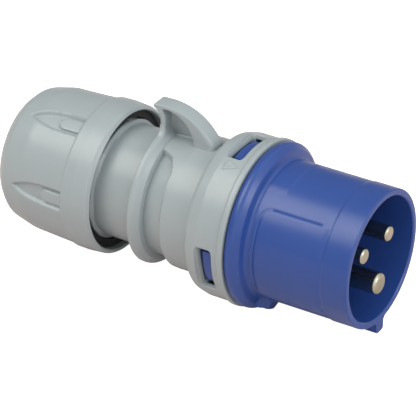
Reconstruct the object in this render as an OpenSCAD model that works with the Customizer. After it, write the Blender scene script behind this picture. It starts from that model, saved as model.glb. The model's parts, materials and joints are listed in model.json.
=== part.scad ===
// Industrial pin and sleeve plug, 2 poles and earth.
// X is the axis of the contacts and points out of the mouth. The origin is the
// middle of the mouth plane. +Z is up through the lid hook, and the key rib
// and the earth pin are at the bottom.
// Stations are distances behind the mouth, so a station s lies at x = -s.
// An angle about the axis is 0 at the top and grows toward -Y.

/* [Shroud and contact insert] */
// Outer radius of the shroud, half of the gauge size for this rating
shroud_r = 21.75; // [20:0.05:23.5]
// Wall of the shroud at the mouth
shroud_wall = 2.1; // [1.6:0.1:2.6]
// Depth of the cavity that the contacts stand in
cavity_depth = 38; // [36:0.5:38.5]
// Length of the slightly larger band at the mouth
mouth_band_len = 8.6; // [7:0.2:10]
// Height of the mouth band's step
mouth_band_step = 0.2; // [0.1:0.05:0.4]
// Station of the flange's rear face
flange_back = 39.2; // [39:0.1:40.5]
// Length of the flange, from the shroud's fillet to its rear face
flange_len = 4.8; // [4:0.1:6]
// Height of the flange over the spigot
flange_rise = 3.4; // [3:0.1:3.8]
// Thickness of the wall that carries the contacts
base_wall = 4; // [3.6:0.1:5]
// How much wider than the shroud's radius the spigot is that enters the housing
spigot_step = 0.85; // [0.5:0.05:0.95]
// Length of the spigot behind the flange
spigot_len = 11.3; // [10.5:0.1:12]
// Wall of the spigot
spigot_wall = 2; // [1.6:0.1:2.4]
// Width of the key rib under the shroud
key_w = 4; // [3:0.2:5]
// Height of the key rib over the shroud
key_h = 3.7; // [3:0.1:4]
// Height of the raised panel on each side of the shroud
panel_step = 0.3; // [0.25:0.05:0.5]
// Angles from the top at which a panel starts and ends
panel_from = 44; // [40:1:50]
panel_to = 128; // [124:1:134]
// Height of the nub in front of the flange, on the lower near side
nub_h = 2.9; // [2:0.1:3.4]
// Angle of the nub from the top
nub_at = 153; // [148:1:160]

/* [Contacts] */
// Radius of the circle that the contacts stand on
contact_circle_r = 8.75; // [8.5:0.05:9]
// Radius of the earth pin
earth_pin_r = 3.5; // [3.2:0.05:3.8]
// Radius of the line and neutral pins
pole_pin_r = 2.5; // [2.3:0.05:2.8]
// How far the earth pin's tip lies behind the mouth
earth_tip_back = 0.1; // [0.1:0.1:1]
// How far the other tips lie behind the mouth
pole_tip_back = 1.4; // [1.2:0.1:3]
// Radius of the rounded edge of a pin's flat tip
tip_edge = 0.4; // [0.2:0.1:0.8]
// How much wider a pin's root is than the pin
root_step = 0.2; // [0.1:0.05:0.4]
// How much wider a pin's shoulder is than the pin
shoulder_step = 1.4; // [1:0.1:1.6]
// How much wider a pin's terminal barrel is than the pin
terminal_step = 1; // [0.8:0.05:1.2]
// Length of a terminal barrel behind the base wall
terminal_len = 15; // [13:0.5:16]
// Radius of the hole that takes the wire
wire_hole_r = 1.9; // [1.5:0.1:2]
// Depth of the hole that takes the wire
wire_hole_depth = 9; // [7:0.5:10]
// Radius of a terminal screw's thread
terminal_screw_r = 1.5; // [1.3:0.1:1.7]
// Thickness of the plate that holds the pins in
retainer_t = 3; // [2.6:0.2:3.6]
// Radius of the screw that holds this plate
retainer_screw_r = 1.5; // [1.2:0.1:1.7]

/* [Twist lock] */
// Angle that one locking lug covers
lug_angle = 28; // [24:1:30]
// Height of a lug over the spigot
lug_h = 1.4; // [1.2:0.1:1.6]
// Station of the lugs' front faces
lug_front = 44.4; // [44.2:0.1:44.8]
// Length of a lug along the axis
lug_len = 3.4; // [3:0.1:3.6]
// Angle between the lugs at the sides and the one on top
side_lug_at = 103.5; // [100:0.5:110]
// Angle that the insert turns to come free
unlock_angle = 32; // [31:1:36]

/* [Housing] */
// Wall of the collar behind its rim
collar_wall = 2.95; // [2.6:0.05:3.2]
// Height of the collar's front rim over the collar
rim_step = 0.55; // [0.4:0.05:0.9]
// Station of the collar's front face
collar_front = 40; // [39.9:0.1:41]
// Length of the front rim
rim_len = 3; // [2:0.2:3.2]
// Length of the collar's shoulder, from the spigot's end to the barrel
collar_tail = 4.5; // [4:0.1:6]
// Radius of the barrel
barrel_r = 21.15; // [20.9:0.05:21.6]
// Wall of the barrel and of the neck
housing_wall = 2.4; // [2.2:0.1:2.6]
// Angle that one collar window covers
window_angle = 36; // [34:1:38]
// Length of a window along the axis, at the lug
window_len = 4.4; // [4.2:0.1:4.8]
// How far a window's rear wall leans back
window_lean = 0.9; // [0.4:0.1:1.2]
// Station of the front face of the rear flange
stop_front = 72; // [71.6:0.1:72.4]
// Thickness of the rear flange
stop_t = 3.7; // [3.4:0.1:4]
// Height of the rear flange over the barrel
stop_rise = 1.4; // [1.1:0.05:1.8]
// Depth of the finger groove under the barrel's surface
groove_depth = 2; // [1.4:0.1:2.2]
// Length of the finger groove
groove_len = 6.8; // [6.2:0.1:7.2]
// Width of the bridge on top that the finger groove leaves, at its rear end
bridge_w = 13.4; // [11:0.2:15]
// How much wider the bridge is at its front end, on each side
bridge_flare = 5.4; // [4:0.2:6]

/* [Lid hook] */
// Height of the hook over the axis
hook_top = 31.7; // [31:0.1:32.4]
// Width of the hook's band
hook_w = 5.8; // [5:0.2:6.6]
// Thickness of the hook's band at the top
hook_band = 1.2; // [1:0.1:1.6]
// How much thicker the band is at its foot
hook_foot = 3.4; // [2.6:0.2:4]
// Radius of the hook's outer curve
hook_curve = 20.2; // [19.6:0.1:20.8]
// Thickness of the web on the hook's far side
hook_web = 1.8; // [1.6:0.1:2.6]
// Thickness of the wall at the back of the hook
hook_wall = 1.8; // [1.6:0.1:2.2]
// Radius of the hollow sweep from the hook down to the rear flange
hook_sweep = 2.2; // [1.6:0.2:3]
// How far the hook's lip stands out behind the rear flange
hook_lip = 2.3; // [1.6:0.1:2.6]

/* [Neck and gland nut] */
// Radius of the neck
neck_r = 18.15; // [18:0.05:18.4]
// Radius of the thread's crests on the neck
thread_r = 19.3; // [19:0.1:19.6]
// Station where the thread starts
thread_start = 88.6; // [88:0.2:89]
// Station of the neck's rear end
neck_end = 104; // [103.6:0.2:104.4]
// Thread pitch: the nut's travel in one turn
thread_pitch = 4; // [3:0.5:4]
// Turns that tighten the nut from where it is
nut_turns = 2; // [1:0.5:2]
// Station of the nut's front rim
nut_front = 88.8; // [88.4:0.1:89.4]
// Length of the nut's rear end, behind the slip ring
nut_end = 11.85; // [11.4:0.05:13]
// Inner radius of the skirt at the nut's rim
skirt_r = 22.3; // [22.2:0.05:22.4]
// Wall of the skirt
skirt_wall = 1.95; // [1.7:0.05:2.2]
// Depth of the skirt's hollow
skirt_depth = 9; // [8:0.2:9.4]
// Length of the sleeve in the skirt, which hides the thread
sleeve_len = 6.6; // [5:0.2:7.4]
// Length of the nut's band, up to its small step
band_len = 9.4; // [8.6:0.2:11]
// Length of the nut's rounded rear end
nut_dome = 10.5; // [8:0.5:14]
// Height of the step behind the band
band_step = 0.45; // [0.3:0.05:0.6]
// Radius of the hole that the cable passes
cable_hole_r = 10.5; // [9:0.25:11]
// Radius of the inner bush, between the two cable seals
seal_insert_r = 9.5; // [8:0.25:10]
// Radius of the cable that the inner bush seals
cable_r = 6.5; // [4:0.25:7]
// How many finger recesses the nut has
recess_count = 6; // [4:1:8]
// Angle of the first finger recess
recess_at = 27.5; // [20:0.5:40]
// Depth of a finger recess
recess_depth = 1; // [0.6:0.1:1.2]
// Width of a finger recess at the band
recess_w = 7; // [6:0.2:9]
// Length of a finger recess, from the band to its point
recess_len = 19.2; // [16:0.2:21]
// Width of the low pad in a recess
pad_w = 4.2; // [3:0.2:5]
// Length of this pad
pad_len = 8; // [6:0.5:10]

/* [Clearances] */
// Gap between parts that turn or slide on each other
run_gap = 0.3; // [0.2:0.05:0.35]
// Radial gap round a pin or a screw that is pushed in
pin_gap = 0.05; // [0.02:0.01:0.1]
// Gap at a face that only rests on another
face_gap = 0.05; // [0.02:0.01:0.1]

/* [Hidden] */
$fn = 64;

earth_at = 180;
line_at = 60;
neutral_at = -60;
stop_angle = 3;
stop_play = 0.5;
lug_centres = [0, side_lug_at, -side_lug_at];

spigot_r = shroud_r + spigot_step;
spigot_back = flange_back + spigot_len;
flange_start = flange_back - flange_len;
flange_r = spigot_r + flange_rise;
gauge_r = shroud_r - mouth_band_step;
base_front = cavity_depth;
base_back = cavity_depth + base_wall;
shoulder_t = base_wall / 2;
shoulder_front = base_back - shoulder_t;
terminal_back = base_back + terminal_len;
terminal_screw_at = terminal_back - wire_hole_depth / 2;
guard_len = 6;
guard_w = 2;
guard_t = 0.4;
guard_top = 0.9;
lug_r = spigot_r + lug_h;
lug_back = lug_front + lug_len;
lug_room_r = lug_r + run_gap;
lug_room_back = lug_back + run_gap;
collar_bore_r = spigot_r + run_gap;
collar_r = collar_bore_r + collar_wall;
rim_r = collar_r + rim_step;
collar_back = spigot_back + collar_tail;
window_front = lug_front - (window_len - lug_len) / 2;
stop_back = stop_front + stop_t;
stop_r = barrel_r + stop_rise;
hook_back = stop_back + hook_lip;
hook_wall_back = stop_back - 0.15;
neck_bore_r = neck_r - housing_wall + 0.15;
cavity_r = barrel_r - housing_wall;
ledge_front = thread_start - 6.6;
ledge_t = 2;
nut_travel = nut_turns * thread_pitch;
nut_bore_r = thread_r + run_gap;
nut_r = skirt_r + skirt_wall;
band_back = nut_front + band_len;
recess_front = band_back + 0.6;
seal_r = neck_bore_r - run_gap;
seal_len = 9;
seal_front = ledge_front + ledge_t + nut_travel + 1;
cage_front = seal_front + seal_len + face_gap;
cage_len = 10;
cage_base_len = 2.6;
cage_wall = 3;
slip_front = cage_front + cage_len + face_gap;
slip_t = 1;
nut_shoulder = slip_front + slip_t + face_gap;
nut_back = nut_shoulder + nut_end;

// ---- helpers -------------------------------------------------------------

function unit(v) = v / norm(v);

// Replaces corner b of the path a-b-c by an arc; the arc is limited by its legs.
function corner(a, b, c, rad, steps) =
    let (u = unit(a - b), v = unit(c - b), half = acos(u * v) / 2)
    rad <= 0 || half > 89.5 ? [b] :
    let (room = 0.49 * min(norm(a - b), norm(c - b)),
         r = min(rad, room * tan(half)),
         mid = b + unit(u + v) * r / sin(half),
         from = b + u * r / tan(half) - mid,
         to = b + v * r / tan(half) - mid,
         a0 = atan2(from[1], from[0]),
         raw = atan2(to[1], to[0]) - a0,
         turn = raw > 180 ? raw - 360 : raw < -180 ? raw + 360 : raw)
    [for (k = [0:steps]) mid + r * [cos(a0 + turn * k / steps), sin(a0 + turn * k / steps)]];

// An outline from points [p, q, radius]; each corner gets its own radius.
function rounded(pts, steps = 4) =
    let (n = len(pts), xy = [for (p = pts) [p[0], p[1]]])
    [for (i = [0:n - 1])
        each corner(xy[(i + n - 1) % n], xy[i], xy[(i + 1) % n], pts[i][2], steps)];

// Revolves an outline of points [station, radius] about the X axis.
module turned(outline, from = 0, angle = 360)
    rotate([0, 90, 0]) rotate([0, 0, 180 + from])
        rotate_extrude(angle = angle) polygon([for (p = outline) [p[1], -p[0]]]);

// A tube between two stations.
module tube(front, back, inner_r, outer_r)
    turned([[front, inner_r], [front, outer_r], [back, outer_r], [back, inner_r]]);

// A plain cylinder along X between two stations.
module rod(front, back, r)
    translate([-back, 0, 0]) rotate([0, 90, 0]) cylinder(h = back - front, r = r);

// Turns its children about the axis, from the top to the given angle.
module at_angle(angle) rotate([angle, 0, 0]) children();

// Moves its children from the axis to the place of a contact.
module at_contact(angle) at_angle(angle) translate([0, 0, contact_circle_r]) children();

// ---- contact insert ------------------------------------------------------

module shroud_body()
    turned(rounded([
        [0, shroud_r - shroud_wall, 0.6], [0, shroud_r, 0.6],
        [mouth_band_len, shroud_r, 0], [mouth_band_len + 0.3, gauge_r, 0],
        [flange_start, gauge_r, 1], [flange_start + 0.5, flange_r - 1.8, 1.2],
        [flange_back - 1.6, flange_r, 1.4], [flange_back, flange_r, 0.4], [flange_back, spigot_r, 0],
        [spigot_back, spigot_r, 0.6], [spigot_back, spigot_r - spigot_wall, 0],
        [base_back, spigot_r - spigot_wall, 0.5], [base_back, 0, 0],
        [base_front, 0, 0], [base_front, shroud_r - shroud_wall, 0.8]]));

// The rib has well rounded edges and a small hollow fillet on each side.
module key_rib() {
    top = shroud_r + key_h;
    foot = shroud_r - 0.3;
    side = key_w / 2;
    at_angle(180) rotate([0, -90, 0]) linear_extrude(flange_start + 2)
        polygon(rounded([
            [shroud_r - shroud_wall / 2, -side - 1, 0], [foot - 0.15, -side - 1, 0],
            [foot, -side, 0.9], [top, -side, 1.3], [top, side, 1.3], [foot, side, 0.9],
            [foot - 0.15, side + 1, 0], [shroud_r - shroud_wall / 2, side + 1, 0]]));
}

// A raised panel on each side, which starts behind the mouth band.
module side_panels()
    for (from = [panel_from, -panel_to])
        turned([[mouth_band_len + 3, gauge_r - 0.5], [mouth_band_len + 3, gauge_r - 0.1],
                [mouth_band_len + 5, gauge_r + panel_step],
                [flange_start - 1, gauge_r + panel_step], [flange_start - 1, gauge_r - 0.5]],
               from, panel_to - panel_from);

module flange_nub()
    turned(rounded([
        [flange_start - 5, gauge_r - 0.5, 0], [flange_start - 4, gauge_r + nub_h, 1.6],
        [flange_start + 2, gauge_r + nub_h + 0.3, 0.5], [flange_start + 2, gauge_r - 0.5, 0]]),
        nub_at - 8, 16);

module locking_lugs()
    for (centre = lug_centres)
        turned([[lug_front, spigot_r - 0.5], [lug_front, lug_r],
                [lug_back, lug_r], [lug_back, spigot_r - 0.5]],
               centre - lug_angle / 2, lug_angle);

module pin_holes(angle, pin_r) at_contact(angle) {
    rod(base_front - 1, base_back + 1, pin_r + root_step + pin_gap);
    rod(shoulder_front, base_back + 1, pin_r + shoulder_step + pin_gap);
}

module contact_insert() color("#3c5899") difference() {
    union() {
        shroud_body();
        key_rib();
        side_panels();
        flange_nub();
        locking_lugs();
    }
    pin_holes(earth_at, earth_pin_r);
    pin_holes(line_at, pole_pin_r);
    pin_holes(neutral_at, pole_pin_r);
    rod(base_front + 1, base_back + 1, retainer_screw_r);
}

// ---- contacts ------------------------------------------------------------

module contact_pin(angle, pin_r, tip_back) color("#b9b4a8") at_contact(angle) difference() {
    union() {
        turned(rounded([
            [tip_back, 0, 0], [tip_back, pin_r, tip_edge],
            [base_front - 0.3, pin_r, 0], [base_front - 0.3, pin_r + root_step, 0],
            [shoulder_front, pin_r + root_step, 0], [shoulder_front, pin_r + shoulder_step, 0],
            [base_back, pin_r + shoulder_step, 0], [base_back, pin_r + terminal_step, 0],
            [terminal_back, pin_r + terminal_step, 0.5], [terminal_back, 0, 0]]));
    }
    rod(terminal_back - wire_hole_depth, terminal_back + 1, min(wire_hole_r, pin_r - 0.4));
    translate([-terminal_screw_at, 0, 0])
        cylinder(h = pin_r + terminal_step + 1, r = terminal_screw_r + pin_gap);
}

module earth_pin() contact_pin(earth_at, earth_pin_r, earth_tip_back);
module line_pin() contact_pin(line_at, pole_pin_r, pole_tip_back);
module neutral_pin() contact_pin(neutral_at, pole_pin_r, pole_tip_back);

module slotted_screw(shank_r, shank_len, head_r, head_h) difference() {
    union() {
        cylinder(h = shank_len, r = shank_r);
        translate([0, 0, shank_len]) cylinder(h = head_h, r = head_r);
    }
    translate([-head_r - 1, -0.4, shank_len + head_h / 2])
        cube([2 * head_r + 2, 0.8, head_h]);
}

module terminal_screw(angle, pin_r) color("#a8a49a") at_contact(angle)
    translate([-terminal_screw_at, 0, guard_top + face_gap])
        slotted_screw(terminal_screw_r, pin_r + terminal_step + face_gap - guard_top,
                      terminal_screw_r + 0.9, 1.6);

module earth_terminal_screw() terminal_screw(earth_at, earth_pin_r);
module line_terminal_screw() terminal_screw(line_at, pole_pin_r);
module neutral_terminal_screw() terminal_screw(neutral_at, pole_pin_r);

// A thin leaf between the screw's tip and the wire strands.
module wire_guard(angle) color("#c9b37a") at_contact(angle)
    translate([-terminal_screw_at - guard_len / 2, -guard_w / 2, guard_top - guard_t])
        cube([guard_len, guard_w, guard_t]);

module earth_wire_guard() wire_guard(earth_at);
module line_wire_guard() wire_guard(line_at);
module neutral_wire_guard() wire_guard(neutral_at);

module pin_retainer() color("#2b2d30") difference() {
    turned(rounded([
        [base_back, 0, 0], [base_back, spigot_r - spigot_wall - 4 * pin_gap, 0.7],
        [base_back + retainer_t, spigot_r - spigot_wall - 4 * pin_gap, 0.3],
        [base_back + retainer_t, 0, 0]]));
    for (c = [[earth_at, earth_pin_r], [line_at, pole_pin_r], [neutral_at, pole_pin_r]])
        at_contact(c[0])
            rod(base_back - 1, base_back + retainer_t + 1, c[1] + terminal_step + pin_gap);
    rod(base_back - 1, base_back + retainer_t + 1, retainer_screw_r + 2 * pin_gap);
}

module retainer_screw() color("#a8a49a")
    translate([-(base_front + 1 + face_gap), 0, 0]) rotate([0, -90, 0])
        slotted_screw(retainer_screw_r - pin_gap, base_wall - 1 + retainer_t,
                      retainer_screw_r + 1.2, 1.6);

module flange_gasket() color("#202226")
    tube(flange_back, collar_front - face_gap, spigot_r + pin_gap, flange_r - 0.3);

// ---- housing -------------------------------------------------------------

module housing_outside()
    turned(rounded([
        [collar_front, 0, 0], [collar_front, rim_r, 0.6],
        [collar_front + rim_len, rim_r, 0.3], [collar_front + rim_len + 0.4, collar_r, 0.2],
        [collar_back - 5.5, collar_r, 2.5], [collar_back - 1.6, collar_r - 0.9, 2],
        [collar_back, barrel_r, 1], [stop_front - groove_len - 2.6, barrel_r, 3],
        [stop_front, barrel_r - 0.9, 0], [stop_front + 0.2, stop_r - 1.1, 0.6],
        [stop_front + 1.4, stop_r, 1.2], [stop_back, stop_r - 0.1, 0.4], [stop_back, neck_r, 1.2],
        [thread_start - 1, neck_r, 0.5], [thread_start + 0.4, thread_r, 0.4],
        [neck_end, thread_r, 0.6], [neck_end, 0, 0]]));

module housing_inside()
    turned([
        [collar_front - 1, 0], [collar_front - 1, collar_bore_r],
        [window_front - 0.6, collar_bore_r], [window_front - 0.6, lug_room_r],
        [lug_room_back, lug_room_r], [lug_room_back, collar_bore_r],
        [spigot_back + 0.8, collar_bore_r], [collar_back - 1, cavity_r],
        [stop_front, cavity_r], [stop_back + 1, neck_bore_r],
        [ledge_front, neck_bore_r], [ledge_front, neck_bore_r - 2.5],
        [ledge_front + ledge_t, neck_bore_r - 2.5], [ledge_front + ledge_t, neck_bore_r],
        [neck_end + 1, neck_bore_r], [neck_end + 1, 0]]);

// The openings through which the lugs show, and the grooves they enter by.
module lug_windows()
    for (centre = lug_centres) {
        turned([[window_front, spigot_r], [window_front, rim_r + 1],
                [window_front + window_len + window_lean, rim_r + 1],
                [window_front + window_len, lug_r - 0.2], [window_front + window_len, spigot_r]],
               centre - window_angle / 2, window_angle);
        turned([[collar_front - 1, spigot_r], [collar_front - 1, lug_room_r - 0.1],
                [window_front - 0.3, lug_room_r - 0.1], [window_front - 0.3, spigot_r]],
               centre + unlock_angle - lug_angle / 2 - 0.8, lug_angle + 1.6);
    }

// Two blocks behind the rim stop one lug: closed on one side, free on the other.
module lug_stops()
    for (from = [-lug_angle / 2 - stop_play - stop_angle,
                 unlock_angle + lug_angle / 2 + stop_play + 0.8])
        turned([[lug_front, collar_bore_r + 0.1], [lug_front, lug_room_r + 0.5],
                [lug_back - 0.2, lug_room_r + 0.5], [lug_back - 0.2, collar_bore_r + 0.1]],
               from - side_lug_at, stop_angle);

// The groove runs round the barrel; on top it leaves a bridge that flares forward.
module finger_groove() difference() {
    floor_r = barrel_r - groove_depth;
    turned(rounded([
        [stop_front - groove_len - 1.4, barrel_r + 3, 0],
        [stop_front - groove_len + 0.6, floor_r + 0.4, 1.6],
        [stop_front + 0.3, floor_r, 0.8], [stop_front - 0.2, barrel_r + 3, 0]]));
    side = bridge_w / 2;
    front = stop_front - groove_len;
    linear_extrude(barrel_r + 4) polygon(rounded([
        [-stop_front - 1, -side, 0], [-stop_front - 1, side, 0],
        [-front - 3.4, side, 3.5], [-front - 0.6, side + bridge_flare, 2.5],
        [-front + 3, side + bridge_flare, 0],
        [-front + 3, -side - bridge_flare, 0], [-front - 0.6, -side - bridge_flare, 2.5],
        [-front - 3.4, -side, 3.5]]));
}

// A curve of the hook, seen from the side, at a depth under its outer curve;
// toward the foot the depth grows by some more.
function hook_arc(depth, more, from, to) =
    [for (a = [from:(to - from) / 12:to])
        let (r = hook_curve - depth - more * pow(a / 38, 2))
        [hook_back - 4 - r * sin(a), hook_top - hook_curve + r * cos(a)]];

// The hook's outline as [station, height]; its lip overhangs at the back.
function hook_outline(foot) =
    concat(
        rounded([
            [hook_wall_back - 1, foot, 0], [hook_wall_back, foot, 0],
            [hook_wall_back, hook_top - 4.6, 2], [hook_wall_back + 0.5, hook_top - 2.8, 1],
            [hook_back, hook_top - 1.2, 0.6], [hook_back, hook_top - 0.2, 0.3],
            [hook_back - 4, hook_top, 0]]),
        hook_arc(0, 0, 4, 59), [[hook_back - 4 - hook_curve * sin(59), foot]]);

// The room between the wall at the back and the band.
function hook_pocket(foot) =
    let (front = hook_wall_back - hook_wall, top = hook_top - hook_band)
    concat(
        rounded([[front, foot, 0], [front, top - 4, 1.5], [front + 1.1, top - 0.2, 0.3],
                 [front - 0.6, top, 0]]),
        hook_arc(hook_band, hook_foot, 3, 46), [[hook_back - 14.6, foot]]);

module upright_plate(width) translate([0, width / 2, 0]) rotate([90, 0, 0])
    linear_extrude(width) children();

// The hook is hollow from the near side; a web is left on its far side.
module lid_hook() {
    foot = cavity_r + 1;
    difference() {
        upright_plate(hook_w) mirror([1, 0, 0]) polygon(hook_outline(foot));
        translate([0, -hook_web, 0])
            upright_plate(hook_w) mirror([1, 0, 0]) polygon(hook_pocket(foot - 1));
    }
    hook_root();
}

// The rear flange rises to the hook's wall with a hollow sweep on each side,
// which touches both the wall and the flange's round edge.
module hook_root() {
    side = hook_w / 2 + hook_sweep;
    centre = sqrt(pow(stop_r + hook_sweep, 2) - side * side);
    low = asin(side / (stop_r + hook_sweep));
    sweep = [for (k = [0:8]) let (a = 180 + (90 - low) * k / 8)
        [side + hook_sweep * cos(a), centre + hook_sweep * sin(a)]];
    half = concat(sweep, [[(stop_r - 0.5) * sin(low + 1), (stop_r - 0.5) * cos(low + 1)], [side, cavity_r + 1]]);
    translate([-hook_wall_back - 0.05, 0, 0]) rotate([90, 0, 90]) linear_extrude(hook_wall - 0.1)
        polygon(concat(half, [for (k = [len(half) - 1:-1:0]) [-half[k][0], half[k][1]]]));
}

module housing() color("#aab2b4") difference() {
    union() {
        difference() {
            housing_outside();
            finger_groove();
        }
        lid_hook();
    }
    difference() {
        housing_inside();
        lug_stops();
    }
    lug_windows();
}

// ---- cable gland ---------------------------------------------------------

// The outer bush seals wide cables; the inner one is pushed out for them.
module cable_seal() color("#1d1f21")
    turned(rounded([
        [seal_front, seal_insert_r + pin_gap, 0], [seal_front, seal_r - 1.5, 0.6],
        [seal_front + 2, seal_r, 0.6], [seal_front + seal_len, seal_r, 0],
        [seal_front + seal_len, seal_insert_r + pin_gap, 0]]));

module seal_insert() color("#26282b")
    turned(rounded([
        [seal_front, cable_r, 0.8], [seal_front, seal_insert_r, 0],
        [seal_front + seal_len, seal_insert_r, 0], [seal_front + seal_len, cable_r, 0.8]]));

module clamp_cage() color("#5c6266") difference() {
    turned(rounded([
        [cage_front, seal_r - cage_wall, 0], [cage_front, seal_r, 0],
        [cage_front + cage_base_len, seal_r, 0], [cage_front + cage_len, seal_r - 1.6, 0.5],
        [cage_front + cage_len, seal_r - cage_wall - 1, 0.5]]));
    for (k = [0:3]) at_angle(45 * k + 22.5)
        translate([-cage_front - cage_len - 1, -0.7, -seal_r - 1])
            cube([cage_len - cage_base_len + 1, 1.4, 2 * seal_r + 2]);
}

module slip_ring() color("#d8d8d2")
    tube(slip_front, slip_front + slip_t, seal_r - cage_wall - 1, seal_r - 0.1);

module nut_body()
    turned(rounded([
        [nut_front, skirt_r, 0.2], [nut_front, skirt_r + 0.5, 0.3],
        [nut_front + 0.9, nut_r - 0.4, 1.2], [nut_front + 6, nut_r, 2],
        [band_back, nut_r - 0.1, 0.3], [recess_front, nut_r - band_step, 0.3],
        [nut_back - nut_dome, nut_r - 1.3, 12], [nut_back - 3, nut_r - 3.1, 5],
        [nut_back, nut_r - 6, 1.6],
        [nut_back, cable_hole_r, 0.8], [nut_shoulder + 5, cable_hole_r, 1],
        [nut_shoulder, seal_r - cage_wall, 0], [nut_shoulder, seal_r + 0.1, 0],
        [neck_end + nut_travel + 0.6, nut_bore_r, 0], [nut_front + skirt_depth, nut_bore_r, 0],
        [nut_front + skirt_depth, skirt_r, 0]]));

// The nut's outside behind the band, lowered by a depth, as a ring that cuts.
module lowered(depth)
    turned([[recess_front, nut_r + 3], [recess_front, nut_r - band_step - depth],
            [recess_front + recess_len / 2, nut_r - band_step - 0.6 - depth],
            [recess_front + recess_len, nut_r - band_step - 1.5 - depth / 2],
            [recess_front + recess_len + 2, nut_r + 3]]);

// A finger recess comes to a point at the rear, with a low pad at its front.
module recess_cutters()
    for (k = [0:recess_count - 1]) at_angle(recess_at + 360 / recess_count * k) {
        intersection() {
            lowered(recess_depth);
            linear_extrude(nut_r + 4) translate([-recess_front, 0]) difference() {
                polygon(rounded([
                    [0.5, -recess_w / 2, 0], [0.5, recess_w / 2, 0],
                    [-0.6 * recess_len, recess_w / 2, 12], [-recess_len, 0, 0.6],
                    [-0.6 * recess_len, -recess_w / 2, 12]], 6));
                pad_outline();
            }
        }
        intersection() {
            lowered(recess_depth * 0.45);
            linear_extrude(nut_r + 4) translate([-recess_front, 0]) pad_outline();
        }
    }

module pad_outline() polygon(rounded([
    [0.5, -pad_w / 2, 0], [0.5, pad_w / 2, 0], [-pad_len, pad_w / 2, pad_w / 2],
    [-pad_len, -pad_w / 2, pad_w / 2]]));

module gland_nut() color("#a5adaf") difference() {
    nut_body();
    recess_cutters();
}

module neck_sleeve() color("#1d1f21")
    tube(nut_front + skirt_depth - sleeve_len, nut_front + skirt_depth, nut_bore_r, skirt_r - face_gap);

contact_insert();
earth_pin();
line_pin();
neutral_pin();
earth_terminal_screw();
line_terminal_screw();
neutral_terminal_screw();
earth_wire_guard();
line_wire_guard();
neutral_wire_guard();
pin_retainer();
retainer_screw();
flange_gasket();
housing();
cable_seal();
seal_insert();
clamp_cage();
slip_ring();
gland_nut();
neck_sleeve();
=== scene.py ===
"""Looks of an industrial pin and sleeve plug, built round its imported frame.

X is the axis of the contacts and points out of the mouth, Z points up through
the lid hook. Lengths are in metres unless a name ends in _MM.
"""
import json
import math

import bmesh
import bpy
import numpy as np
from mathutils import Matrix, Vector


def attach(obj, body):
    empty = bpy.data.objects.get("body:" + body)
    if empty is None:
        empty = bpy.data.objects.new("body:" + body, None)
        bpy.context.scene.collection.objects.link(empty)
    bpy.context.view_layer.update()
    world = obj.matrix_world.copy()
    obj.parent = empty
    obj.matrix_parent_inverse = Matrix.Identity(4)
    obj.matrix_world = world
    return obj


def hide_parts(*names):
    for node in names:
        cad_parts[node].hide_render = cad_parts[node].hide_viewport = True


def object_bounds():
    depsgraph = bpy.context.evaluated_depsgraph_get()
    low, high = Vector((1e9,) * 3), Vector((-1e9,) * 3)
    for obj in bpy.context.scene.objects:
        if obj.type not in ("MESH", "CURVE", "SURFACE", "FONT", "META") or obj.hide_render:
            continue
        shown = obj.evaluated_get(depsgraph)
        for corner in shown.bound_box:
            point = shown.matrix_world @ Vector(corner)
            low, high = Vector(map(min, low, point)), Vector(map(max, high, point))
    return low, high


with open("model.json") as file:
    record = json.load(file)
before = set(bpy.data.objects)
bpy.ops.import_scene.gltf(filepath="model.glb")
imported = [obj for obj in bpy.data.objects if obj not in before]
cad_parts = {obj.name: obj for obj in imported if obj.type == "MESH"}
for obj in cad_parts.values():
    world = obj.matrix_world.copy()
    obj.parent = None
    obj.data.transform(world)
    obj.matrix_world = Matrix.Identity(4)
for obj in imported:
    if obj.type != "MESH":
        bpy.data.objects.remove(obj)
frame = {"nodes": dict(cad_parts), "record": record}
CAD_BOX = [list(corner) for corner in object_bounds()]
MM = 0.001


# ---- colours and nodes ---------------------------------------------------

def linear(hex_colour):
    """The linear RGBA of an sRGB hex colour."""
    channels = [int(hex_colour[i:i + 2], 16) / 255 for i in (1, 3, 5)]
    return tuple(c / 12.92 if c <= 0.04045 else ((c + 0.055) / 1.055) ** 2.4
                 for c in channels) + (1.0,)


def add(tree, kind, settings=None, **inputs):
    """Adds a node of that kind, with its settings and its input values or links."""
    node = tree.nodes.new(kind)
    for key, value in (settings or {}).items():
        setattr(node, key, value)
    for key, value in inputs.items():
        numbered = key[1:].isdigit()
        socket = node.inputs[int(key[1:]) if numbered else key.replace("_", " ")]
        if isinstance(value, bpy.types.NodeSocket):
            tree.links.new(value, socket)
        else:
            socket.default_value = value
    return node


def new_material(name):
    """An empty material with its node tree, its shader and its object coordinates."""
    material = bpy.data.materials.new(name)
    material.use_nodes = True
    tree = material.node_tree
    tree.nodes.clear()
    shader = add(tree, "ShaderNodeBsdfPrincipled")
    add(tree, "ShaderNodeOutputMaterial", Surface=shader.outputs["BSDF"])
    place = add(tree, "ShaderNodeTexCoord").outputs["Object"]
    return material, tree, shader, place


GRAIN_DEPTH_MM = 0.006
CLOUD_MM = 14
GLOSS_MM = 5


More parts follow.
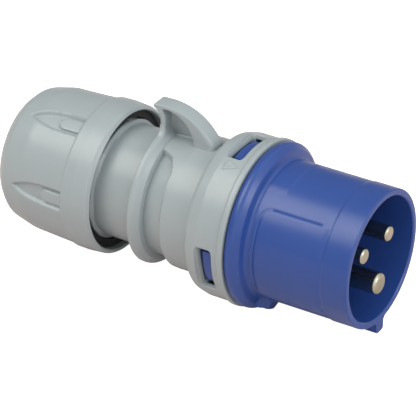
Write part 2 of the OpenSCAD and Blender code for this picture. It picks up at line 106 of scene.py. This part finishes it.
def moulded(name, base, shade, roughness, grain_mm=0.35):
    """Injection-moulded plastic: a spark-eroded grain and a faint cloudiness in the colour.
    The grain is drawn coarser than an eroded mould leaves it, so that it shows."""
    material, tree, shader, place = new_material(name)
    cloud = add(tree, "ShaderNodeTexNoise", Vector=place, Scale=1 / (CLOUD_MM * MM), Detail=3.0)
    ramp = add(tree, "ShaderNodeValToRGB", Fac=cloud.outputs["Fac"])
    ramp.color_ramp.elements[0].color = linear(shade)
    ramp.color_ramp.elements[0].position = 0.3
    ramp.color_ramp.elements[1].color = linear(base)
    ramp.color_ramp.elements[1].position = 0.7
    tree.links.new(ramp.outputs["Color"], shader.inputs["Base Color"])
    gloss = add(tree, "ShaderNodeTexNoise", Vector=place, Scale=1 / (GLOSS_MM * MM), Detail=4.0)
    gloss_range = add(tree, "ShaderNodeMapRange", Value=gloss.outputs["Fac"])
    gloss_range.inputs["To Min"].default_value = roughness - 0.04
    gloss_range.inputs["To Max"].default_value = roughness + 0.05
    tree.links.new(gloss_range.outputs["Result"], shader.inputs["Roughness"])
    grain = add(tree, "ShaderNodeTexNoise", Vector=place, Scale=1 / (grain_mm * MM), Detail=2.0)
    bump = add(tree, "ShaderNodeBump", Height=grain.outputs["Fac"],
               Strength=0.5, Distance=GRAIN_DEPTH_MM * MM)
    tree.links.new(bump.outputs["Normal"], shader.inputs["Normal"])
    shader.inputs["IOR"].default_value = 1.5
    shader.inputs["Specular IOR Level"].default_value = 0.5
    return material


TOOL_MARK_MM = 0.12


def metal(name, base, roughness):
    """Turned and plated metal: fine rings round each contact from the lathe."""
    material, tree, shader, place = new_material(name)
    shader.inputs["Base Color"].default_value = linear(base)
    shader.inputs["Metallic"].default_value = 1.0
    shader.inputs["Roughness"].default_value = roughness
    rings = add(tree, "ShaderNodeTexWave", {"wave_type": "BANDS", "bands_direction": "X"},
                Vector=place, Scale=1 / (TOOL_MARK_MM * 20 * MM), Distortion=1.5, Detail=2.0)
    bump = add(tree, "ShaderNodeBump", Height=rings.outputs["Fac"], Strength=0.15, Distance=0.004 * MM)
    tree.links.new(bump.outputs["Normal"], shader.inputs["Normal"])
    return material


# A satin skin that shows a broad, soft highlight along its upper side.
GREY_POLYAMIDE = moulded("light grey polyamide, satin moulding", "#9ba4a7", "#98a1a4", 0.31)
BLUE_POLYAMIDE = moulded("blue polyamide, satin moulding", "#2a4990", "#28478d", 0.29)
# Duller plastics of the hidden pieces.
BLACK_POLYAMIDE = moulded("black polyamide", "#2b2d30", "#26282b", 0.5)
WHITE_ACETAL = moulded("white acetal", "#dcdcd4", "#d6d6ce", 0.4)
# Nearly without gloss, so the seals look soft. The same finish colours the neck sleeve that lines the
# nut's mouth: painted shade, a black lining put where the deep gap between nut and neck falls into
# shade.
BLACK_RUBBER_AND_PAINTED_SHADE = moulded("black rubber, matt moulding", "#202224", "#1b1d1f", 0.7, grain_mm=0.5)
# Bright and slightly warm: the contacts mirror what is round them.
NICKEL_PLATE = metal("turned brass, bright nickel plate", "#c4c0aa", 0.2)
ZINC_STEEL = metal("zinc-plated steel screw", "#b9b7b0", 0.32)
SPRING_BRASS = metal("rolled brass strip", "#c9a85c", 0.3)
FINISH = {
    "grey_plastic": GREY_POLYAMIDE, "blue_plastic": BLUE_POLYAMIDE,
    "black_plastic": BLACK_POLYAMIDE, "white_plastic": WHITE_ACETAL,
    # black_rubber also dresses the neck sleeve, a black lining that paints the shade inside the nut's
    # mouth.
    "black_rubber": BLACK_RUBBER_AND_PAINTED_SHADE, "plated_brass": NICKEL_PLATE,
    "plated_steel": ZINC_STEEL, "spring_brass": SPRING_BRASS,
}


def dress_cad_nodes():
    """Gives every carried-over node the finish of its slot."""
    for part in frame["record"]["subparts"]:
        node = frame["nodes"][part["node"]]
        node.data.materials.clear()
        node.data.materials.append(FINISH[part["material_slot"]])


# ---- surfaces ------------------------------------------------------------

def smooth(t):
    """The soft step 3 t^2 - 2 t^3, 0 below t = 0 and 1 above t = 1."""
    t = np.clip(t, 0.0, 1.0)
    return t * t * (3 - 2 * t)


def rounded(points, steps=7, closed=False):
    """The path through points (p, q, radius) with an arc m + radius (cos a, sin a) at each corner."""
    xy = [np.array(p[:2], float) for p in points]
    path = []
    for i, corner in enumerate(xy):
        radius = points[i][2]
        if radius <= 0 or (not closed and i in (0, len(xy) - 1)):
            path.append(corner)
            continue
        back, ahead = xy[i - 1] - corner, xy[(i + 1) % len(xy)] - corner
        room = 0.49 * min(np.linalg.norm(back), np.linalg.norm(ahead))
        back, ahead = back / np.linalg.norm(back), ahead / np.linalg.norm(ahead)
        half = math.acos(np.clip(back @ ahead, -1, 1)) / 2
        if half > math.radians(89.5):
            path.append(corner)
            continue
        radius = min(radius, room * math.tan(half))
        middle = corner + (back + ahead) / np.linalg.norm(back + ahead) * radius / math.sin(half)
        first = corner + back * radius / math.tan(half) - middle
        last = corner + ahead * radius / math.tan(half) - middle
        start = math.atan2(first[1], first[0])
        turn = (math.atan2(last[1], last[0]) - start + math.pi) % math.tau - math.pi
        path += [middle + radius * np.array((math.cos(start + turn * k / steps),
                                             math.sin(start + turn * k / steps)))
                 for k in range(steps + 1)]
    return np.array(path)


def dense(path, step, fine=(0, 0, 1)):
    """The same path with every leg cut into pieces no longer than step, or than a finer
    step between two stations."""
    out = [path[0]]
    for a, b in zip(path[:-1], path[1:]):
        inside = fine[0] < (a[0] + b[0]) / 2 < fine[1]
        count = max(1, math.ceil(np.linalg.norm(b - a) / (fine[2] if inside else step) - 1e-6))
        out += [a + (b - a) * k / count for k in range(1, count + 1)]
    return np.array(out)


def distance(path, s, z):
    """The distance of every point (s, z) from a polyline."""
    first, leg = path[:-1], np.diff(path, axis=0)
    away = np.stack([s, z], axis=-1)[..., None, :] - first
    along = np.clip((away * leg).sum(-1) / (leg ** 2).sum(-1), 0, 1)
    return np.linalg.norm(away - along[..., None] * leg, axis=-1).min(-1)


def spread(*stretches):
    """Angles in degrees from stretches (start, end, step), each without its end."""
    return np.concatenate([np.linspace(a, b, max(1, round((b - a) / step)), endpoint=False)
                           for a, b, step in stretches])


def turned(path, angles, relief=None):
    """Revolves a path of (station s, radius r): P = (-s, -(r + d) sin a, (r + d) cos a),
    where the relief d(s, a, r) in millimetres is 0 unless given."""
    s, r = path[:, :1], path[:, 1:2]
    a = angles[None, :]
    if relief is not None:
        r = r + relief(s, a, r)
    a = np.radians(a)
    return np.stack([-s + 0 * r * a, -r * np.sin(a), r * np.cos(a)], axis=-1)


CREASE_DEG = 38


class Piece:
    """Gathers grids of points in millimetres and makes one closed, smooth mesh of them."""

    def __init__(self):
        self.points, self.faces, self.count = [], [], 0

    def grid(self, points, wrap_rows=False, wrap_columns=True, caps=False):
        """Adds the quads of a grid; a wrapped direction closes on itself, and caps close the
        two ends."""
        rows, columns = points.shape[:2]
        i = np.arange(rows if wrap_rows else rows - 1)[:, None]
        j = np.arange(columns if wrap_columns else columns - 1)[None, :]
        ahead, beside = (i + 1) % rows, (j + 1) % columns
        quads = np.stack([i * columns + j, i * columns + beside,
                          ahead * columns + beside, ahead * columns + j], axis=-1).reshape(-1, 4)
        self.faces += (quads + self.count).tolist()
        if caps and wrap_columns:
            self.faces += [list(range(self.count, self.count + columns)),
                           list(range(self.count + (rows - 1) * columns, self.count + rows * columns))]
        elif caps:
            self.faces += [[self.count + k * columns + end for k in range(rows)]
                           for end in (0, columns - 1)]
        self.points.append(points.reshape(-1, 3))
        self.count += rows * columns
        return self

    def build(self, name):
        """Makes the object, with outward normals and creases only at steep edges."""
        mesh = bpy.data.meshes.new(name)
        mesh.from_pydata((np.concatenate(self.points) * MM).tolist(), [], self.faces)
        work = bmesh.new()
        work.from_mesh(mesh)
        bmesh.ops.recalc_face_normals(work, faces=work.faces)
        for face in work.faces:
            face.smooth = True
        work.to_mesh(mesh)
        work.free()
        mesh.set_sharp_from_angle(angle=math.radians(CREASE_DEG))
        piece = bpy.data.objects.new(name, mesh)
        bpy.context.collection.objects.link(piece)
        return piece


def dress(piece, body, slot, *nodes):
    """Gives a piece its finish and its body, and hides the CAD nodes that it stands for."""
    piece.data.materials.clear()
    piece.data.materials.append(FINISH[slot])
    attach(piece, body)
    if nodes:
        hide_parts(*nodes)


def cut(piece, cutters):
    """Takes the cutters out of the piece and removes them from the scene."""
    for cutter in cutters:
        modifier = piece.modifiers.new("opening", "BOOLEAN")
        modifier.operation = "DIFFERENCE"
        modifier.solver = "EXACT"
        modifier.object = cutter
    bpy.context.view_layer.update()
    mesh = bpy.data.meshes.new_from_object(piece.evaluated_get(bpy.context.evaluated_depsgraph_get()))
    piece.modifiers.clear()
    piece.data = mesh
    for cutter in cutters:
        bpy.data.objects.remove(cutter)


# ---- gland nut -----------------------------------------------------------

NUT_FRONT, NUT_BACK, NUT_R, SKIRT_R = 88.8, 125.0, 24.25, 22.3
RECESS_FRONT, RECESS_LEN, RECESS_HALF, RECESS_AT, PAD_HALF = 98.8, 19.2, 3.5, 27.5, 2.1


def nut_relief(s, a, r):
    """Six pointed finger recesses of half width 3.5 (1 - u^3.5), with a low pad at the front of each."""
    u = np.clip((s - RECESS_FRONT) / RECESS_LEN, 0, 1)
    w = r * np.radians((a - RECESS_AT + 30) % 60 - 30)
    edge = RECESS_HALF * (1 - u ** 3.5) - np.abs(w)
    depth = 1.15 * smooth(edge / 1.1 + 0.15)
    pad_round = RECESS_FRONT + 8 - PAD_HALF
    reach = np.where(s > pad_round, np.hypot(w, s - pad_round), np.abs(w))
    on_pad = smooth((PAD_HALF - reach) / 0.4 + 0.5)
    depth = depth + (np.minimum(depth, 0.35) - depth) * on_pad
    return -depth * smooth((s - RECESS_FRONT) / 0.35)


def make_gland_nut():
    """The nut as one revolved skin: skirt, band, step and domed rear with its recesses."""
    outer = dense(rounded([
        (NUT_FRONT, SKIRT_R + 0.5, 0), (NUT_FRONT + 0.9, NUT_R - 0.4, 1.2), (NUT_FRONT + 6, NUT_R, 6),
        (98.2, NUT_R - 0.1, 0.25), (98.75, NUT_R - 0.45, 0.25), (114.5, NUT_R - 1.3, 14),
        (122.0, NUT_R - 3.1, 5), (NUT_BACK, NUT_R - 6, 1.6), (NUT_BACK, 10.5, 0)]), 0.4)
    inner = rounded([
        (NUT_BACK, 10.5, 0), (NUT_BACK - 0.5, 10.5, 0.4), (119.4, 10.5, 1), (114.8, 12.6, 0),
        (114.8, 15.7, 0), (112.6, 19.6, 0), (97.8, 19.6, 0), (97.8, SKIRT_R, 0),
        (NUT_FRONT + 0.4, SKIRT_R, 0.3), (NUT_FRONT, SKIRT_R + 0.4, 0)])
    angles = spread((-180, 180, 0.75))
    piece = Piece()
    piece.grid(np.concatenate([turned(outer, angles, nut_relief), turned(inner[1:-1], angles)]),
               wrap_rows=True)
    dress(piece.build("gland_nut_skin"), "nut", "grey_plastic", "gland_nut")


# ---- housing -------------------------------------------------------------

BARREL_R, STOP_FRONT, STOP_BACK, STOP_R, NECK_R, THREAD_R = 21.15, 72.0, 75.7, 22.55, 18.15, 19.3
COLLAR_R, RIM_R, COLLAR_BACK, WINDOW_FRONT, WINDOW_BACK = 25.85, 26.4, 55.0, 43.9, 48.3
LUG_CENTRES = (0, 103.5, -103.5)
HOOK_HALF, HOOK_CURVE_R, WEB_Y, SWEEP_R = 2.9, 20.2, 1.1, 3.4


def sweep_table():
    """Pairs (angle, radius) of the fillet between the hook's side and the flange's edge."""
    side = HOOK_HALF + SWEEP_R
    centre = math.sqrt((STOP_R + SWEEP_R) ** 2 - side ** 2)
    turn = np.radians(np.linspace(180, 270 - math.degrees(math.asin(side / (STOP_R + SWEEP_R))), 14))
    y, z = side + SWEEP_R * np.cos(turn), centre + SWEEP_R * np.sin(turn)
    return np.stack([np.degrees(np.arctan2(y, z)), np.hypot(y, z)], axis=-1)


SWEEP = sweep_table()
GROOVE_LIP = rounded([(75, 6.9, 0), (71.5, 7.0, 4), (67.6, 9.0, 3), (65.6, 13.2, 8),
                      (65.0, 24, 0), (65.0, 99, 0)])
GROOVE_DEPTH, THREAD_PITCH = 2.4, 4.0
TRIANGLE = ((47.9, 29.3), (47.5, 20.7), (43.1, 25.2))


def edge_distance(corners, s, w):
    """The distance inside a convex outline of corners (s, w), negative outside."""
    area = sum(corners[i - 1][0] * corners[i][1] - corners[i][0] * corners[i - 1][1]
               for i in range(len(corners)))
    inside = None
    for i in range(len(corners)):
        (s0, w0), (s1, w1) = corners[i - 1], corners[i]
        length = math.hypot(s1 - s0, w1 - w0)
        side = ((s1 - s0) * (w - w0) - (w1 - w0) * (s - s0)) / length * math.copysign(1, area)
        inside = side if inside is None else np.minimum(inside, side)
    return inside


def housing_relief(s, a, r):
    """The finger groove up to its bridge on top, the flange's sweep up to the hook, the
    raised triangle and the thread's helix."""
    a = (a + 180) % 360 - 180
    w = BARREL_R * np.radians(np.abs(a))
    beyond = np.where((s > np.interp(w, GROOVE_LIP[:, 1], GROOVE_LIP[:, 0])) & (w > 6.9), 1, -1)
    reach = beyond * distance(GROOVE_LIP, s + 0 * w, w + 0 * s)
    groove = -GROOVE_DEPTH * smooth((reach + 0.25) / 1.35) * (s < STOP_FRONT + 0.01)
    lift = np.interp(np.abs(a), SWEEP[:, 0], SWEEP[:, 1]) - STOP_R
    sweep = lift * smooth((s - 73.2) / 1.0) * (r > 20.6) * (s > 72.05) * (s < STOP_BACK + 0.01)
    gap = WEB_Y + BARREL_R * np.radians(a)
    fillet = 0.6 - np.sqrt(0.36 - np.clip(0.6 - gap, 0, 0.6) ** 2)
    fillet = fillet * (np.abs(a) < 6) * (s > 62.5) * (s < STOP_FRONT - 0.01)
    corners = [(p, COLLAR_R * math.radians(q)) for p, q in TRIANGLE]
    inside = edge_distance(corners, s, COLLAR_R * np.radians(a))
    mark = (0.34 * smooth(inside / 0.35 + 0.4) - 0.2 * smooth((inside - 0.55) / 0.3)) * (s < 50)
    turn = (s - 88.4 - THREAD_PITCH * (a + 60) / 360) % THREAD_PITCH
    ridge = smooth((1.0 - np.abs(turn - 1.3)) / 0.55)
    start = smooth((s - 88.0 - THREAD_PITCH * np.clip((a + 60) / 360, 0, 1)) / 0.8)
    thread = (THREAD_R - NECK_R) * ridge * start * (s > 87.6)
    return groove + sweep + fillet + mark + thread


def window_cutter(centre):
    """A window with rounded corners, a leaning rear wall and a softened lip."""
    levels = []
    for r, grow in ((21.9, 0), (24.6, 0), (25.3, 0), (25.62, 0.03), (25.8, 0.12),
                    (25.95, 0.35), (28.5, 0.35)):
        lean = 0.9 * min(1, max(0, (r - 23.8) / 2.0))
        half = 25 * math.radians(18) + grow
        front, back = WINDOW_FRONT - grow, WINDOW_BACK + lean + grow
        loop = rounded([(front, -half, 1.1), (front, half, 1.1),
                        (back, half, 0.7), (back, -half, 0.7)], closed=True)
        a = np.radians(centre) + loop[:, 1] / 25
        levels.append(np.stack([-loop[:, 0], -r * np.sin(a), r * np.cos(a)], axis=-1))
    return Piece().grid(np.array(levels), caps=True).build("window")


def make_housing():
    """Collar, barrel, rear flange and threaded neck as one revolved skin with three windows."""
    outer = dense(rounded([
        (39.8, 22.9, 0), (39.8, RIM_R - 0.1, 0.4), (40.4, RIM_R, 0.5), (41.4, RIM_R, 0.3),
        (41.9, COLLAR_R, 0.25),
        (COLLAR_BACK - 5.5, COLLAR_R, 2.5), (COLLAR_BACK - 1.6, COLLAR_R - 0.9, 2),
        (COLLAR_BACK, BARREL_R, 1), (62.6, BARREL_R, 3), (STOP_FRONT, BARREL_R - 0.6, 0.3),
        (STOP_FRONT + 0.1, STOP_R - 1.7, 0.5), (STOP_FRONT + 2.0, STOP_R, 2.0),
        (STOP_BACK, STOP_R - 0.1, 0.4), (STOP_BACK, NECK_R, 1.2),
        (104.0, NECK_R, 0.5), (104.0, 15.9, 0)]), 0.5, (43.4, 48.6, 0.22))
    inner = rounded([
        (104.0, 15.9, 0), (84.0, 15.9, 0), (84.0, 13.4, 0), (82.0, 13.4, 0), (82.0, 15.9, 0),
        (76.7, 15.9, 0), (72.0, 18.75, 0), (54.0, 18.75, 0), (51.3, 22.9, 0), (48.1, 22.9, 0),
        (48.1, 24.3, 0), (43.3, 24.3, 0), (43.3, 22.9, 0), (39.8, 22.9, 0)])
    angles = spread((-48, -14, 0.8), (-14, 17, 0.35), (17, 33, 0.3), (33, 60, 0.8), (60, 312, 1.6))
    piece = Piece()
    piece.grid(np.concatenate([turned(outer, angles, housing_relief), turned(inner[1:-1], angles)]),
               wrap_rows=True)
    skin = piece.build("housing_skin")
    cut(skin, [window_cutter(centre) for centre in LUG_CENTRES])
    dress(skin, "shell", "grey_plastic", "housing")


# ---- lid hook ------------------------------------------------------------

def hook_curve(first, last, depth=0.0, more=0.0):
    """Points (74 - r sin a, 11.5 + r cos a) with r = 20.2 - depth - more (a / 38)^2."""
    a = np.linspace(first, last, 36)
    r = HOOK_CURVE_R - depth - more * (a / 38) ** 2
    a = np.radians(a)
    return np.stack([74.0 - r * np.sin(a), 11.5 + r * np.cos(a)], axis=-1)


def hook_half_width(path, s, z, foot):
    """Half width 2.9 with edges of radius e, 2.9 - e + sqrt(e^2 - (e - d)^2) at the distance d
    from the outline; e grows by foot down there, where the hook flares to meet the barrel."""
    low = smooth((30.0 - z) / 6.5) * smooth((67.5 - s) / 3)
    edge = 0.35 + foot * low
    near = np.clip(distance(path, s, z), 0, edge)
    half = HOOK_HALF - edge + np.sqrt(edge ** 2 - (edge - near) ** 2)
    above = np.clip((z - 20.9) / 1.1, 0, 1)
    return half + 0.45 * (1 - np.sqrt(1 - (1 - above) ** 2)) * low


def pocket_cutter():
    """The room between the hook's wall and its band, open to the near side."""
    levels = []
    for y, grow in ((-4.5, 0.3), (-2.92, 0.3), (-2.8, 0.12), (-2.6, 0.02), (-2.3, 0),
                    (0.2, 0), (0.75, -0.2), (1.0, -0.5), (WEB_Y, -1.0)):
        back, top = 73.75 + grow, 30.5 + grow
        loop = np.concatenate([
            rounded([(back, 17, 0), (back, 27.7, 1.5), (back + 1.1, top - 0.2, 0.3), (73.1, top, 0)]),
            hook_curve(3, 46, 1.2 - grow, 3.4), [(63.4 - grow, 17)]])
        levels.append(np.stack([-loop[:, 0], y + 0 * loop[:, 0], loop[:, 1]], axis=-1))
    return Piece().grid(np.array(levels), caps=True).build("pocket")


def make_lid_hook():
    """Rings that shrink from the hook's outline to a middle point, on the near and the far side."""
    path = np.concatenate([
        rounded([(75.55, 19.6, 0), (75.55, 27.1, 2), (76.05, 28.9, 1), (78.0, 30.5, 0.6),
                 (78.0, 31.5, 0.35), (74.0, 31.7, 0)], steps=10),
        hook_curve(3, 59), [(56.6, 19.6)]])
    path = dense(np.concatenate([path, path[:1]]), 0.3)
    middle = np.array((70.0, 25.0))
    share = np.concatenate([np.linspace(0.03, 0.86, 7), np.linspace(0.88, 0.985, 14), [0.993, 1.0]])
    rings = middle + (path[:-1] - middle) * share[:, None, None]
    s, z = rings[..., 0], rings[..., 1]
    near = np.stack([-s, -hook_half_width(path, s, z, 1.1), z], axis=-1)
    far = np.stack([-s, hook_half_width(path, s, z, 0.6), z], axis=-1)[::-1]
    skin = Piece().grid(np.concatenate([near, far]), caps=True).build("lid_hook_skin")
    cut(skin, [pocket_cutter()])
    dress(skin, "shell", "grey_plastic")


# ---- contact insert ------------------------------------------------------

SHROUD_R, GAUGE_R, FLANGE_R, SPIGOT_R, CAVITY_R = 21.75, 21.55, 26.0, 22.6, 19.65


PANEL_FROM, PANEL_TO, PANEL_REAR, PANEL_CORNER = 43.6, 128, 31.8, 3.6
NUB_AT = 153


def insert_relief(s, a, r):
    """Raised side panels with a fine line round them, the strip on top, the key rib and the
    nub by the flange."""
    a = (a + 180) % 360 - 180
    on_shroud = (s < 36) & (s > 0.3)
    w = GAUGE_R * np.radians(np.abs(a))
    low, high = GAUGE_R * math.radians(PANEL_FROM), GAUGE_R * math.radians(PANEL_TO)
    ds = np.maximum(s - (PANEL_REAR - PANEL_CORNER), 0)
    dw = np.maximum(np.maximum(low + PANEL_CORNER - w, w - (high - PANEL_CORNER)), 0)
    inside = np.where((ds > 0) & (dw > 0), PANEL_CORNER - np.hypot(ds, dw),
                      np.minimum(PANEL_REAR - s, np.minimum(w - low, high - w)))
    height = (0.14 + 0.31 * smooth((np.abs(a) - 95) / 30)) * smooth((s - 8.6) / 2.4)
    panel = height * smooth(inside / 0.28 + 0.5)
    line = (0.2 + 0.4 * smooth((np.abs(a) - 100) / 20)) * np.exp(-(inside / 0.32) ** 2)
    line = line * smooth((s - 10) / 3) * on_shroud * (r > 21.1)
    strip = 0.16 * smooth(np.minimum(s - 26.8, 33.5 - s) / 0.3 + 0.5)
    strip = strip * smooth((GAUGE_R * np.radians(31) - w) / 3.5)
    y = SHROUD_R * np.sin(np.radians(a - 180))
    rib = smooth((2.0 - np.abs(y)) / 0.45 + 0.5) * 2.55
    rib = rib + 1.15 * np.sqrt(np.clip(1 - (np.abs(y) / 2.0) ** 4, 0, 1))
    rib = rib + 0.35 * smooth((3.0 - np.abs(y)) / 1.2) * (np.abs(y) > 1.9)
    rib_to = np.maximum(SHROUD_R + rib - r, 0) * (np.abs(y) < 3) * (np.abs(a) > 90)
    rib_to = rib_to * (s < 36) * (r > 21.1)
    across = 24 * np.radians(a - NUB_AT)
    nub = 3.2 * smooth((3.4 - np.abs(across)) / 1.4) * smooth((s - 29.6) / 2.2) * (s < 36)
    nub = np.minimum(nub, np.maximum(25.0 - r, 0))
    return np.maximum(np.maximum((panel + strip) * on_shroud, rib_to), nub) - line


def make_insert():
    """Shroud, flange and spigot as one revolved skin round the wall of the contacts."""
    outer = dense(rounded([
        (0.35, CAVITY_R, 0), (0.0, CAVITY_R + 0.35, 0.3),
        (0.0, SHROUD_R - 0.3, 0.3), (0.35, SHROUD_R, 0.4),
        (8.6, SHROUD_R, 0), (8.95, GAUGE_R, 0), (34.3, GAUGE_R, 1.4), (35.1, FLANGE_R - 1.7, 1.6),
        (36.9, FLANGE_R, 1.8), (38.2, FLANGE_R, 1.5), (39.5, FLANGE_R - 0.6, 0.3), (39.5, SPIGOT_R, 0),
        (50.5, SPIGOT_R, 0.6),
        (50.5, 20.6, 0)]), 0.42)
    inner = dense(rounded([
        (50.5, 20.6, 0), (42.0, 20.6, 0.5), (42.0, 0.02, 0), (38.0, 0.02, 0),
        (38.0, CAVITY_R, 0.8), (0.35, CAVITY_R, 0)]), 4.0)
    angles = spread((-171, 171, 1.1), (171, 189, 0.3))
    piece = Piece()
    piece.grid(np.concatenate([turned(outer, angles, insert_relief), turned(inner[1:-1], angles)]),
               wrap_rows=True)
    for centre in LUG_CENTRES:
        lug = rounded([(44.4, 22.1, 0), (44.4, 24.0, 0.3), (47.8, 24.0, 0.3), (47.8, 22.1, 0)],
                      closed=True)
        piece.grid(turned(lug, np.linspace(centre - 14, centre + 14, 30)),
                   wrap_rows=True, wrap_columns=False, caps=True)
    dress(piece.build("insert_skin"), "insert", "blue_plastic", "contact_insert")


CONTACT_OFF, WIRE_HOLE_R, SCREW_HOLE_R, SCREW_AT = 8.75, 1.9, 1.55, 52.5


def make_contact(name, angle, r, tip):
    """A contact round its own axis: a flat tip with its edge turned to the arc
    (s, q) = (tip + e (1 - cos t), r - e + e sin t), the shank, the shoulder in the insert's wall
    and the barrel with its wire hole and screw hole."""
    edge, t = 0.36 * r, np.linspace(0, np.pi / 2, 14)
    arc = np.stack([tip + edge * (1 - np.cos(t)), r - edge + edge * np.sin(t)], axis=-1)
    dome = np.concatenate([[(tip, 0.02), (tip, (r - edge) / 2)], arc])
    wire = min(WIRE_HOLE_R, r - 0.4)
    path = np.concatenate([dome, rounded([
        (37.7, r, 0), (37.7, r + 0.2, 0), (40.0, r + 0.2, 0), (40.0, r + 1.4, 0), (42.0, r + 1.4, 0),
        (42.0, r + 1, 0), (57.0, r + 1, 0.5), (57.0, wire, 0), (48.0, wire, 0), (48.0, 0.02, 0)])])
    off = CONTACT_OFF * np.array([0, -math.sin(math.radians(angle)), math.cos(math.radians(angle))])
    pin = Piece().grid(turned(path, spread((-180, 180, 5))) + off, wrap_rows=True).build(name + "_skin")
    round_hole = np.radians(np.arange(0, 360, 10))
    levels = [np.stack([-SCREW_AT + SCREW_HOLE_R * np.cos(round_hole),
                        SCREW_HOLE_R * np.sin(round_hole), h + 0 * round_hole], axis=-1)
              for h in (0.0, 9.0)]
    turn = Matrix.Rotation(math.radians(angle), 3, "X")
    hole = np.array(levels) @ np.array(turn).T + off
    cut(pin, [Piece().grid(hole, caps=True).build("screw_hole")])
    dress(pin, "insert", "plated_brass", name)


def make_gasket():
    """The seal between the flange and the collar, pressed to a thin ring."""
    ring = rounded([(39.55, 22.7, 0), (39.55, 25.2, 0.1), (39.75, 25.2, 0.1), (39.75, 22.7, 0)],
                   closed=True)
    piece = Piece().grid(turned(ring, spread((-180, 180, 2))), wrap_rows=True)
    dress(piece.build("gasket_skin"), "insert", "black_rubber", "flange_gasket")


# ---- stage ---------------------------------------------------------------

AZIMUTH = math.radians(31.5)
ELEVATION = math.radians(31.0)
DISTANCE = 0.9
LENS_MM = 260.66
MOUTH_RIGHT = 0.0509
MOUTH_DOWN = 0.01465


def place_camera():
    """The camera stands off the mouth along the view's forward, right and up directions."""
    right = Vector((math.cos(AZIMUTH), math.sin(AZIMUTH), 0))
    forward = Vector((-math.sin(AZIMUTH) * math.cos(ELEVATION),
                      math.cos(AZIMUTH) * math.cos(ELEVATION), -math.sin(ELEVATION)))
    up = right.cross(forward)
    camera = bpy.data.objects.new("camera", bpy.data.cameras.new("camera"))
    camera.data.lens = LENS_MM
    camera.data.sensor_width = 36
    camera.data.clip_start = 0.01
    camera.matrix_world = Matrix((
        (right.x, up.x, -forward.x, 0), (right.y, up.y, -forward.y, 0),
        (right.z, up.z, -forward.z, 0), (0, 0, 0, 1)))
    camera.location = -(right * MOUTH_RIGHT - up * MOUTH_DOWN + forward * DISTANCE)
    bpy.context.collection.objects.link(camera)
    bpy.context.scene.camera = camera


LAMP_AWAY = 1.0
FLOOR_HALF = 4.0


def area_lamp(name, direction, size, watts, colour):
    """A square soft lamp that looks at the middle of the plug from a direction."""
    lamp = bpy.data.lights.new(name, "AREA")
    lamp.size = size
    lamp.energy = watts
    lamp.color = colour
    holder = bpy.data.objects.new(name, lamp)
    target = Vector((-0.06, 0, 0))
    towards = Vector(direction).normalized()
    holder.location = target + towards * LAMP_AWAY
    holder.rotation_euler = towards.to_track_quat("Z", "Y").to_euler()
    bpy.context.collection.objects.link(holder)


def set_stage():
    """A pale floor, a world that is white for the camera and graded for the rest, a soft lamp
    from behind above and a smaller one from the front."""
    low = min(CAD_BOX[0][2], CAD_BOX[1][2])
    mesh = bpy.data.meshes.new("floor")
    corners = [(x * FLOOR_HALF, y * FLOOR_HALF, low) for x, y in ((-1, -1), (1, -1), (1, 1), (-1, 1))]
    mesh.from_pydata(corners, [], [(0, 1, 2, 3)])
    floor = bpy.data.objects.new("floor", mesh)
    bpy.context.collection.objects.link(floor)
    # Matt paper: white to the camera, pale and slightly warm in what it throws back.
    material, tree, shader, _ = new_material("white paper sweep")
    shader.inputs["Base Color"].default_value = linear("#d9cac6")
    shader.inputs["Roughness"].default_value = 0.9
    shader.inputs["Emission Color"].default_value = (1, 1, 1, 1)
    lit = add(tree, "ShaderNodeLightPath").outputs["Is Camera Ray"]
    tree.links.new(lit, shader.inputs["Emission Strength"])
    floor.data.materials.append(material)

    world = bpy.data.worlds.new("studio")
    bpy.context.scene.world = world
    world.use_nodes = True
    tree = world.node_tree
    tree.nodes.clear()
    path = add(tree, "ShaderNodeLightPath")
    way = add(tree, "ShaderNodeTexCoord").outputs["Generated"]
    way = add(tree, "ShaderNodeSeparateXYZ", Vector=way)
    ahead = add(tree, "ShaderNodeMapRange", Value=way.outputs["X"])
    behind = add(tree, "ShaderNodeMapRange", Value=way.outputs["Y"])
    for node, limits in ((ahead, (-0.45, 0.1, 0.45, 1.12)), (behind, (0.3, 0.95, 1.0, 0.45))):
        for socket, value in zip(("From Min", "From Max", "To Min", "To Max"), limits):
            node.inputs[socket].default_value = value
    level = add(tree, "ShaderNodeMath", {"operation": "MULTIPLY"},
                _0=ahead.outputs["Result"], _1=behind.outputs["Result"])
    soft = add(tree, "ShaderNodeBackground", Color=(0.97, 1.0, 1.0, 1),
               Strength=level.outputs["Value"])
    white = add(tree, "ShaderNodeBackground", Color=(1, 1, 1, 1), Strength=1.0)
    mix = add(tree, "ShaderNodeMixShader", Fac=path.outputs["Is Camera Ray"])
    tree.links.new(soft.outputs[0], mix.inputs[1])
    tree.links.new(white.outputs[0], mix.inputs[2])
    add(tree, "ShaderNodeOutputWorld", Surface=mix.outputs[0])
    area_lamp("key", (-0.45, -0.38, 0.81), 0.65, 5.0, (1.0, 0.97, 0.9))
    area_lamp("front", (0.84, -0.1, 0.48), 0.4, 2.0, (1.0, 1.0, 1.0))
    bpy.context.scene.view_settings.view_transform = "Standard"


place_camera()
set_stage()
dress_cad_nodes()
make_gland_nut()
make_housing()
make_lid_hook()
make_insert()
make_gasket()
make_contact("earth_pin", 180, 3.5, 0.1)
make_contact("line_pin", 60, 2.5, 1.4)
make_contact("neutral_pin", -60, 2.5, 1.4)
